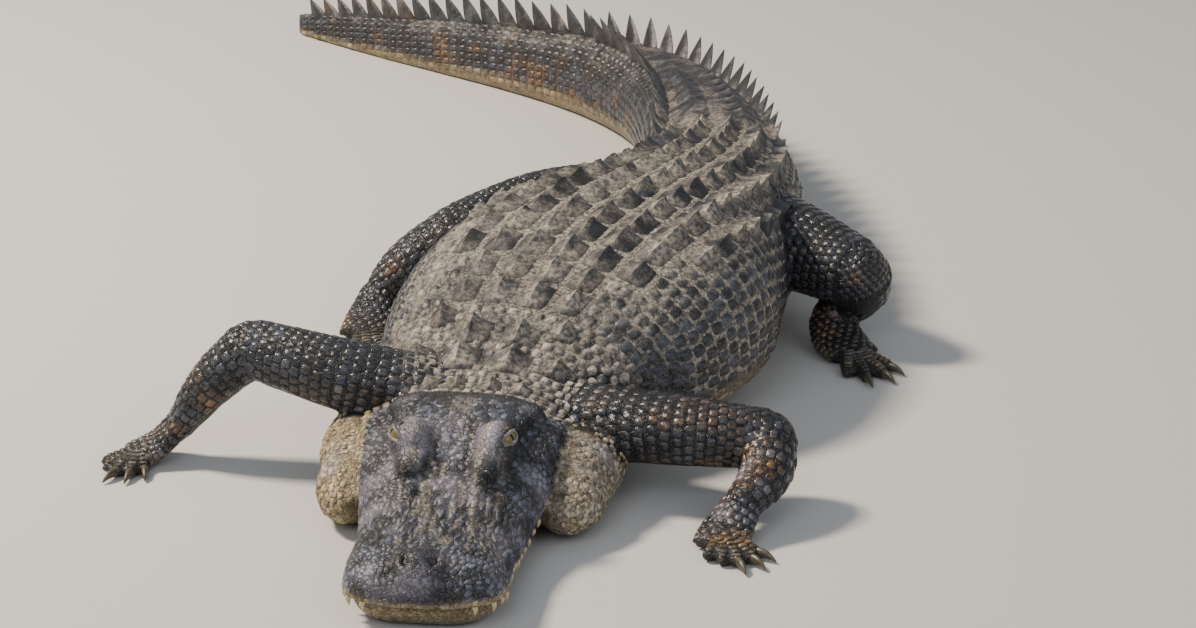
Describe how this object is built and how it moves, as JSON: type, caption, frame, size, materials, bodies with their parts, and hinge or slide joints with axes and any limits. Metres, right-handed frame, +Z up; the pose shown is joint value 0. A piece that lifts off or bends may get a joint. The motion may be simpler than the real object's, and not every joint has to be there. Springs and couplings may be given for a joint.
{
  "type": "american alligator model",
  "caption": "Life-size still model of a resting alligator, belly down with raised head plates, keeled back, sprawled legs and a tail swept to its right.",
  "frame": {"origin": "on the floor, at the flat of the belly under the middle of the trunk", "axes": "+Z up; the head points to -Y and the tail lies towards +Y; +X is the animal's left"},
  "size_m": [0.9965, 2.4281, 0.2678],
  "materials": {
    "back_hide": "dry, mud-dusted hide with raised bony plates",
    "dark_hide": "wet blue-black hide, semi-gloss",
    "eye_gold": "wet glossy eye",
    "claw_horn": "smooth horn"
  },
  "bodies": {
    "root": {"head": "dark_hide", "lower_jaw": "dark_hide", "eye_right": "eye_gold", "eye_left": "eye_gold", "neck": "back_hide", "torso": "back_hide", "tail_1": "back_hide", "tail_2": "back_hide", "tail_3": "back_hide", "tail_4": "back_hide", "upper_arm_right": "dark_hide", "forearm_right": "dark_hide", "claw_fore_right_3": "claw_horn", "claw_fore_right_2": "claw_horn", "claw_fore_right_1": "claw_horn", "hand_right": "dark_hide", "upper_arm_left": "dark_hide", "forearm_left": "dark_hide", "claw_fore_left_1": "claw_horn", "claw_fore_left_2": "claw_horn", "claw_fore_left_3": "claw_horn", "hand_left": "dark_hide", "thigh_left": "dark_hide", "shank_left": "dark_hide", "claw_hind_left_3": "claw_horn", "claw_hind_left_2": "claw_horn", "claw_hind_left_1": "claw_horn", "foot_left": "dark_hide", "thigh_right": "dark_hide", "shank_right": "dark_hide", "claw_hind_right_1": "claw_horn", "claw_hind_right_2": "claw_horn", "claw_hind_right_3": "claw_horn", "foot_right": "dark_hide"}
  },
  "joints": []
}
